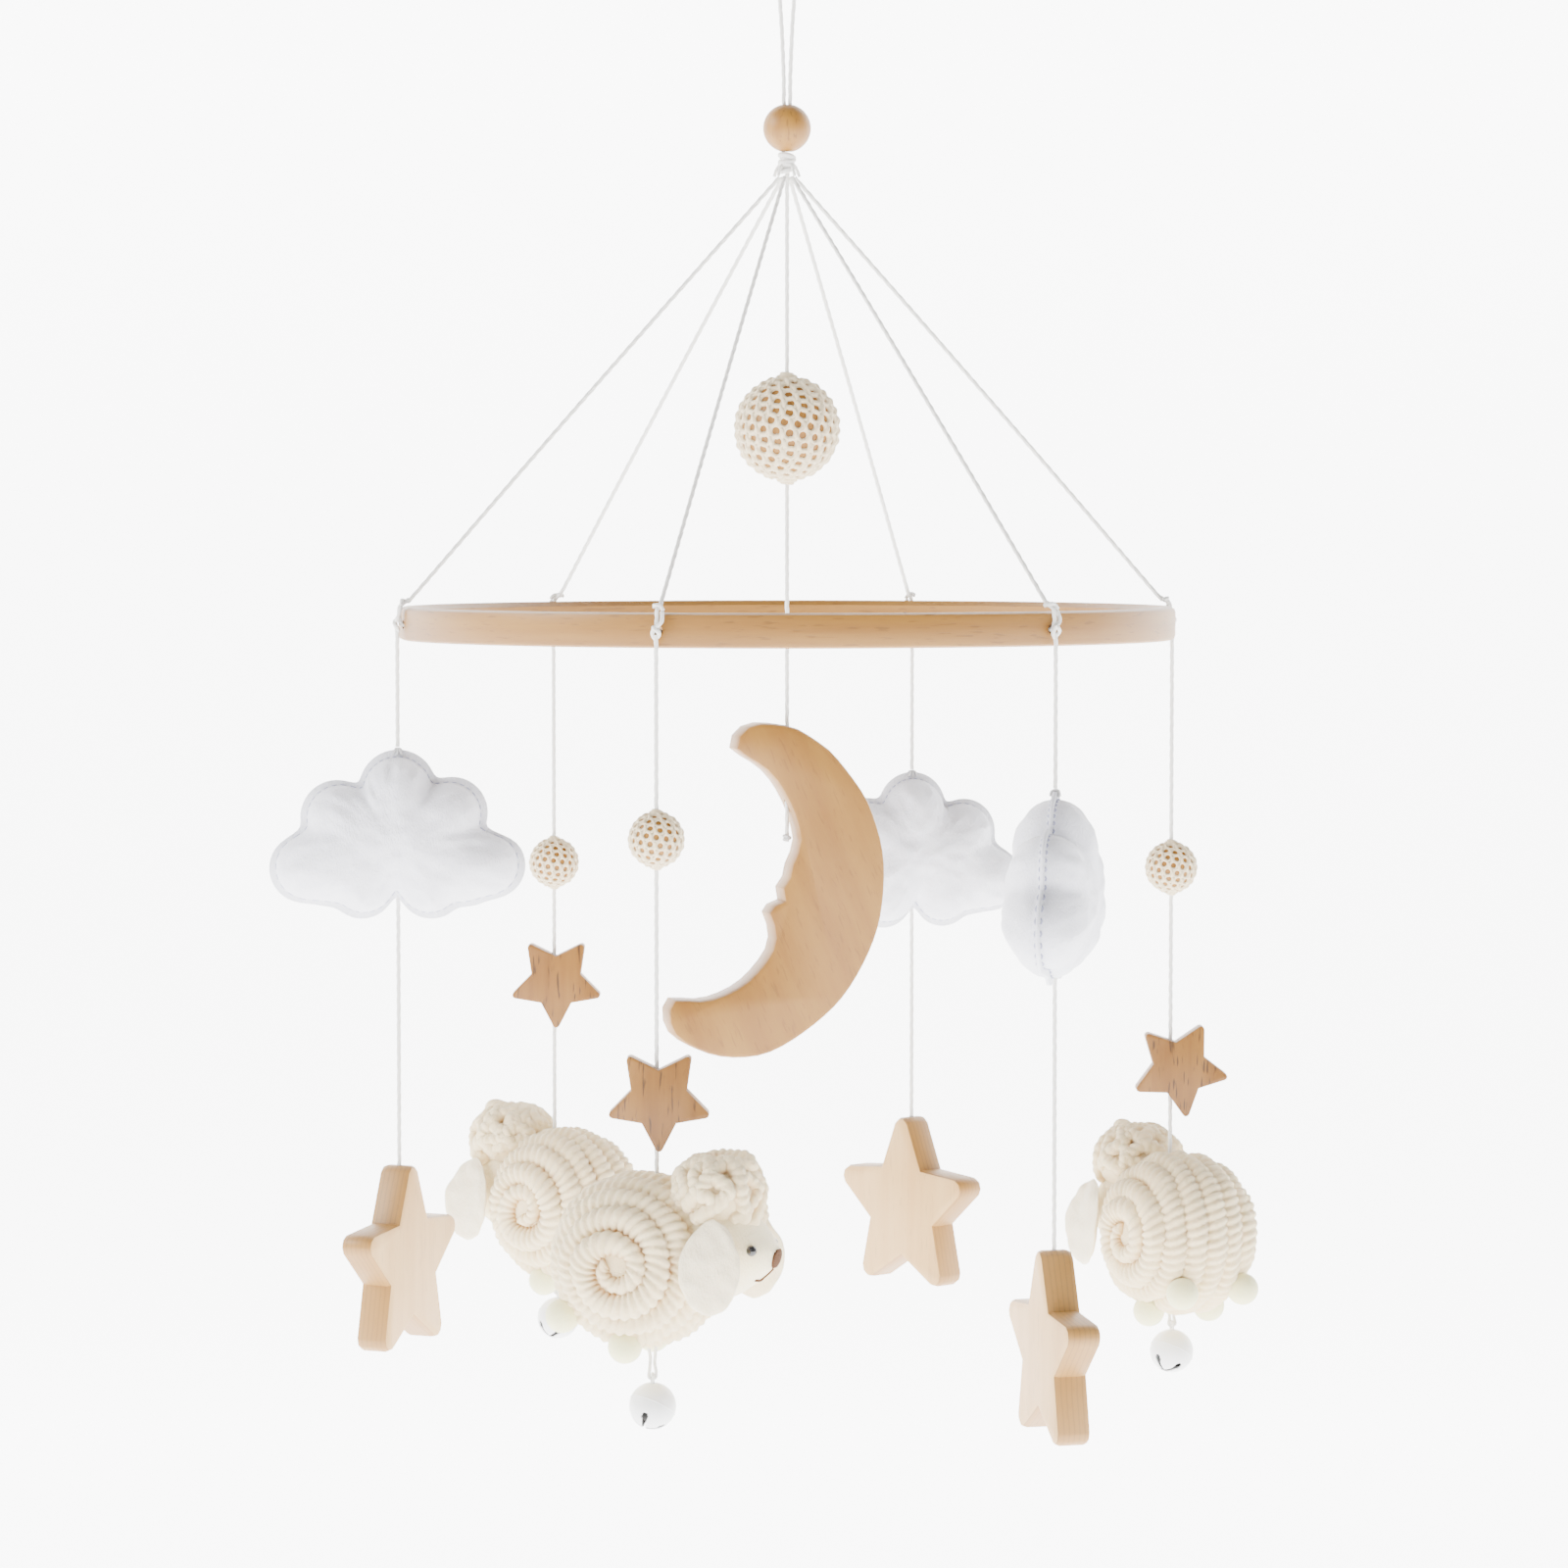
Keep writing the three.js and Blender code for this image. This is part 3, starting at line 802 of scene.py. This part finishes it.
def sheep_body(number, body, place):
    """One long rope wound from flank to flank over the stuffing, and four round felt feet."""
    inside = BODY_SIZE - Vector((BODY_ROPE, BODY_ROPE, BODY_ROPE)) * 0.93
    path = []
    steps = 520
    for i in range(steps + 1):
        t = i / steps
        polar = math.pi * (0.035 + 0.93 * t)
        around = 2 * math.pi * BODY_TURNS * t + number * 1.3
        wander = 1 + 0.035 * noise.noise(Vector((around * 0.8, number * 3.0, 0)))
        polar += 0.05 * noise.noise(Vector((around * 0.45, 7.0, number * 2.0)))
        out = Vector((inside.x * math.sin(polar) * math.cos(around) * wander,
                      -inside.y * math.cos(polar),
                      inside.z * math.sin(polar) * math.sin(around) * wander))
        path.append(BODY_MIDDLE + out)
    points = [place @ p for p in spaced(path, 0.55)]
    inverse = place.inverted()

    def depth(co):
        q = inverse @ co - BODY_MIDDLE
        level = math.sqrt((q.x / BODY_SIZE.x) ** 2 + (q.y / BODY_SIZE.y) ** 2
                          + (q.z / BODY_SIZE.z) ** 2)
        return (1 - level) * 26 / 7.5 + 0.1

    wool(f"sheep_{number}_wound_rope", points, BODY_ROPE * MM, body, depth,
         stands_for=(f"sheep_{number}_body",))
    v, f = moved(ball(BODY_MIDDLE, inside, 20, 28), place)
    piece(f"sheep_{number}_stuffing", v, f, WOOL, body)
    feet = []
    for along, down in FEET_ALONG:
        for side in (-12, 12):
            feet.append(ball((along, side, down), (5.4, 5.4, 5.4), 16, 24))
    v, f = moved(merged(feet), place)
    piece(f"sheep_{number}_feet", v, f, FOOT, body)


HEAD_MIDDLE = Vector((23, 0, -22.5))
HEAD_SIZE = (15.3, 13.4, 16.2)


def head_shape(unit):
    """The head narrows above and below, with a blunt muzzle in front and full cheeks."""
    front = max(0.0, unit.x)
    muzzle = front ** 3 * math.exp(-((unit.z + 0.28) / 0.42) ** 2)
    cheeks = 0.05 * math.exp(-((unit.z + 0.1) ** 2) * 8)
    return 1 - 0.16 * front * abs(unit.z) + 0.13 * muzzle + cheeks


def on_head(side, up, proud):
    """A point on the head at a sideways and upward angle in degrees, standing proud of it."""
    s, u = math.radians(side), math.radians(up)
    unit = Vector((math.cos(u) * math.cos(s), math.cos(u) * math.sin(s), math.sin(u)))
    out = Vector([unit[a] * HEAD_SIZE[a] for a in range(3)])
    return HEAD_MIDDLE + out * (head_shape(unit) + proud)


def sheep_head(number, body, place):
    v, f = moved(ball(HEAD_MIDDLE, HEAD_SIZE, 40, 56, head_shape), place)
    piece(f"sheep_{number}_felted_head", v, f, FLEECE, body, (f"sheep_{number}_head",))


def sheep_face(number, body, place):
    """Glass eyes, and a nose and mouth in brown thread."""
    eyes = [ball(on_head(side * 42, 2, 0.0), (1.7, 1.7, 1.7), 14, 20) for side in (-1, 1)]
    v, f = moved(merged(eyes), place)
    piece(f"sheep_{number}_eyes", v, f, BEAD_EYE, body)
    threads = []
    for k in range(9):
        wide = 13 * math.sqrt(1 - ((k - 4) / 4.6) ** 2)
        run = [on_head(side, -9 + (4 - k) * 2.0, 0.014) for side in (-wide, 0, wide)]
        threads.append(tube(spaced(run, 0.5), even(0.48), 8))
    mouth = [on_head(side, -40 + abs(side) * 0.16, 0.01) for side in (-20, -10, 0, 10, 20)]
    threads.append(tube(spaced(mouth, 0.5), even(0.45), 8))
    lip = [on_head(0, up, 0.01) for up in (-20, -30, -40)]
    threads.append(tube(spaced(lip, 0.5), even(0.36), 8))
    v, f = moved(merged(threads), place)
    piece(f"sheep_{number}_nose_and_mouth", v, f, BROWN, body)


def ear_shape(unit):
    return 1 - 0.14 * max(0.0, unit.z) * abs(unit.x) + 0.05 * noise.noise(unit * 2.3)


def sheep_ears(number, body, place):
    """Soft hanging ears, cupped towards the head and dimpled all over."""
    for side, word in ((1, "left"), (-1, "right")):
        verts, faces = ball((0, 0, 0), (10.2, 1.9, 14.8), 28, 40, ear_shape)
        cupped = []
        for p in verts:
            dimple = 0.7 * noise.noise(Vector((p.x * 0.22, side * number * 3.0, p.z * 0.22)))
            cup = 0.016 * p.x ** 2 - 0.005 * p.z ** 2 + dimple
            cupped.append(Vector((p.x, p.y + side * cup, p.z)))
        hang = Matrix.Translation((25, side * 18.4, -26.5))
        lean = Matrix.Rotation(math.radians(side * 8), 4, "X")
        v, f = moved((cupped, faces), place @ (hang @ lean))
        name = f"sheep_{number}_ear_{word}"
        piece(name + "_felt", v, f, EAR, body, (name,))


CROWN = Vector((20.5, 0, 3.2))
TUFTS = 17
# A tuft's run from the crown outwards: (reach, height, share of its sideways swing).
TUFT_TOP = ((1.5, 0.0, -2.2), (6.0, 0.8, -1.0), (10.8, -2.0, 0.6), (13.4, -6.8, -0.6))
TUFT_END = ((13.2, -11.4, 0.9), (11.0, -13.4, 2.0))
CROWN_LOOP = [(15, -3, 2.5), (17, 2.5, 4.2), (22, 3.5, 4.8), (28.5, 1.5, 5.0),
              (31.5, -1.2, 3.2), (26, -4, 3.8), (20, -4.5, 3.6)]


def sheep_topknot(number, body, place):
    """Tufts of wool laid from the crown down over the forehead and the sides, under a small loop."""
    chance = random.Random(40 + number)
    inverse = place.inverted()

    def depth(co):
        q = inverse @ co - Vector((21, 0, -6))
        return 1.02 - math.sqrt((q.x / 16) ** 2 + (q.y / 15.5) ** 2 + (q.z / 14) ** 2) + 0.25

    for k in range(TUFTS):
        angle = 2 * math.pi * (k + 0.3 * chance.uniform(-1, 1)) / TUFTS
        drop = chance.uniform(-1.5, 1.5) + (-3.0 if math.cos(angle) > 0.3 else 1.0)
        swing = chance.uniform(-0.28, 0.28)
        route = list(TUFT_TOP) + [(reach, height + drop, share) for reach, height, share in TUFT_END]
        run = []
        for reach, height, share in route:
            a = angle + share * swing * 2
            run.append(CROWN + Vector((reach * math.cos(a), reach * math.sin(a), height)))
        points = [place @ p for p in spaced(run, 0.5)]
        wool(f"sheep_{number}_tuft_{k}", points, chance.uniform(2.1, 2.7) * MM, body, depth)
    points = [place @ Vector(p) for p in spaced(CROWN_LOOP, 0.5)]
    wool(f"sheep_{number}_crown_loop", points, 2.6 * MM, body, depth)
    v, f = moved(ball((21, 0, -7), (13.6, 13.4, 10.2), 16, 24), place)
    piece(f"sheep_{number}_topknot_stuffing", v, f, WOOL, body)


# ---------- bells ----------

BELL_RADIUS = 7.4
SLOT_WIDTH = 1.4
SLOT_REACH = 5.2


def in_slot(p):
    """Whether a point of the bell's underside lies in the cross slot or its round ends."""
    half = SLOT_WIDTH / 2
    cross = (abs(p.x) < half and abs(p.y) < SLOT_REACH) or (abs(p.y) < half and abs(p.x) < SLOT_REACH)
    ends = any((p.xy - Vector(e)).length < 1.15 for e in ((5, 0), (-5, 0), (0, 5), (0, -5)))
    return p.z < -3 and (cross or ends)


def bell(number):
    """A painted sheet bell that hangs askew, so that its cross slot shows, dark with the painted shade
    of a black ball inside.
    """
    body = f"bell_{number}"
    low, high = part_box(f"bell_{number}")
    centre = Vector(((low.x + high.x) / 2, (low.y + high.y) / 2, low.z + 0.0075))
    verts, faces = ball((0, 0, 0), (BELL_RADIUS, BELL_RADIUS, BELL_RADIUS), 72, 96)
    turn = Matrix.Rotation(math.radians(number * 37 + 20), 3, "Z")
    kept = []
    for face in faces:
        middle = sum((verts[i] for i in face), Vector()) / len(face)
        if not in_slot(turn @ middle):
            kept.append(face)
    tip_forward = Matrix.Rotation(math.radians(-24), 4, "X")
    tip_left = Matrix.Rotation(math.radians(22), 4, "Y")
    seam = Matrix.Translation(centre) @ tip_forward @ tip_left @ Matrix.Scale(MM, 4)
    v, f = moved((verts, kept), seam)
    shell = piece(f"bell_{number}_shell", v, f, PAINT, body, (f"bell_{number}",))
    thick = shell.modifiers.new("sheet", "SOLIDIFY")
    thick.thickness = 0.0005
    thick.offset = -1
    v, f = moved(torus((0, 0, 0), (0, 0, 1), 7.46, 0.16, 72, 8), seam)
    piece(f"bell_{number}_joint_line", v, f, PAINT, body)
    v, f = torus(centre + Vector((0, 0, 0.0086)), (1, 0.2, 0), 0.0016, 0.00045, 24, 10)
    piece(f"bell_{number}_eye", v, f, PAINT, body)
    # A near-black ball fills the shell as painted shade, so that the slot shows dark.
    v, f = ball(centre + Vector((0, 0, -0.0012)), (0.0045, 0.0045, 0.0045), 16, 20)
    piece(f"bell_{number}_inside", v, f, BELL_INSIDE_SHADE, body)
    bell_cord(number, body, centre)


def bell_cord(number, body, centre):
    """Two strands from the sheep's belly, pinched together through the bell's eye."""
    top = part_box(f"bell_cord_{number}")[1].z
    x, y, z = centre.x, centre.y, centre.z + 0.0085
    strands = []
    for way in (-1, 1):
        run = [Vector((x + way * 0.0012, y, top + 0.001)),
               Vector((x + way * 0.0007, y, (top + z) / 2 + 0.001)),
               Vector((x + way * 0.0011, y - 0.0006, z + 0.0010)),
               Vector((x, y, z))]
        strands.append(tube(spaced(run, 0.0004), twisted(0.0006), 10))
    v, f = merged(strands)
    piece(f"bell_{number}_double_cord", v, f, COTTON, body, (f"bell_cord_{number}",))


# ---------- studio ----------

FLOOR_Z = -0.95
FLOOR_FRONT = -3.5
WALL_Y = 3.6
WALL_TOP = 4.4
WALL_BEND = 1.2
HALF_WIDTH = 9


def backdrop():
    """A pale sheet: a floor that curves up into a glowing wall behind the mobile."""
    profile = [(FLOOR_FRONT, FLOOR_Z), (WALL_Y - WALL_BEND, FLOOR_Z)]
    for i in range(1, 13):
        a = math.pi / 2 * i / 12
        profile.append((WALL_Y - WALL_BEND + WALL_BEND * math.sin(a),
                        FLOOR_Z + WALL_BEND * (1 - math.cos(a))))
    profile.append((WALL_Y, WALL_TOP))
    verts = []
    for x in (-HALF_WIDTH, HALF_WIDTH):
        verts += [(x, y, z) for y, z in profile]
    n = len(profile)
    faces = [(i, i + 1, n + i + 1, n + i) for i in range(n - 1)]
    mesh = bpy.data.meshes.new("backdrop")
    mesh.from_pydata(verts, [], faces)
    mesh.polygons.foreach_set("use_smooth", [True] * len(mesh.polygons))
    s = Shader("pale_backdrop", 0.9)
    s.colour((0.95, 0.95, 0.95))
    s.base.inputs["Emission Color"].default_value = (1, 1, 1, 1)
    s.base.inputs["Emission Strength"].default_value = 6.0
    mesh.materials.append(s.material)
    sheet = bpy.data.objects.new("backdrop", mesh)
    bpy.context.scene.collection.objects.link(sheet)


def studio():
    """Soft daylight: a strong lamp from the left, weak ones in front and on the right."""
    backdrop()
    world = bpy.data.worlds.new("studio")
    bpy.context.scene.world = world
    world.use_nodes = True
    world.node_tree.nodes["Background"].inputs["Color"].default_value = (1, 1, 1, 1)
    world.node_tree.nodes["Background"].inputs["Strength"].default_value = 0.5
    lamp("key", (-1.5, -0.35, 0.55), 0.8, 42)
    lamp("front", (-0.6, -1.9, 0.5), 1.2, 9)
    lamp("fill", (1.5, -0.5, 0.1), 1.2, 4)


def lamp(name, place, size, power):
    """A round soft lamp aimed at the mobile's middle."""
    light = bpy.data.lights.new(name, "AREA")
    light.shape = "DISK"
    light.size = size
    light.energy = power
    holder = bpy.data.objects.new(name, light)
    holder.location = place
    way = Vector((0, 0, -0.3)) - Vector(place)
    holder.rotation_euler = way.to_track_quat("-Z", "Y").to_euler()
    bpy.context.scene.collection.objects.link(holder)


aim_camera()
cords()
knots()
finish_wood()
bead("top_bead_wood", radius=0.008, bore=0.0023, body="hoop", node="top_bead")
bead("big_ball_wood", radius=0.0165, bore=0.0012, body="centre_line", node="big_ball_core")
crochet("big_ball_crochet", "big_ball_cover", radius=0.018, pitch=0.0046, row=0.0037, yarn=0.0014,
        body="centre_line")
for n in SHEEP:
    body_name = f"sheep_line_{n}"
    ball_name = f"small_ball_{n}"
    bead(ball_name + "_wood", radius=0.008, bore=0.0012, body=body_name, node=ball_name + "_core")
    crochet(ball_name + "_crochet", ball_name + "_cover", radius=0.009, pitch=0.0031, row=0.0026,
            yarn=0.0009, body=body_name)
for n, info in CLOUDS.items():
    cloud(n, info)
for n, info in SHEEP.items():
    sheep(n, info)
    bell(n)
studio()
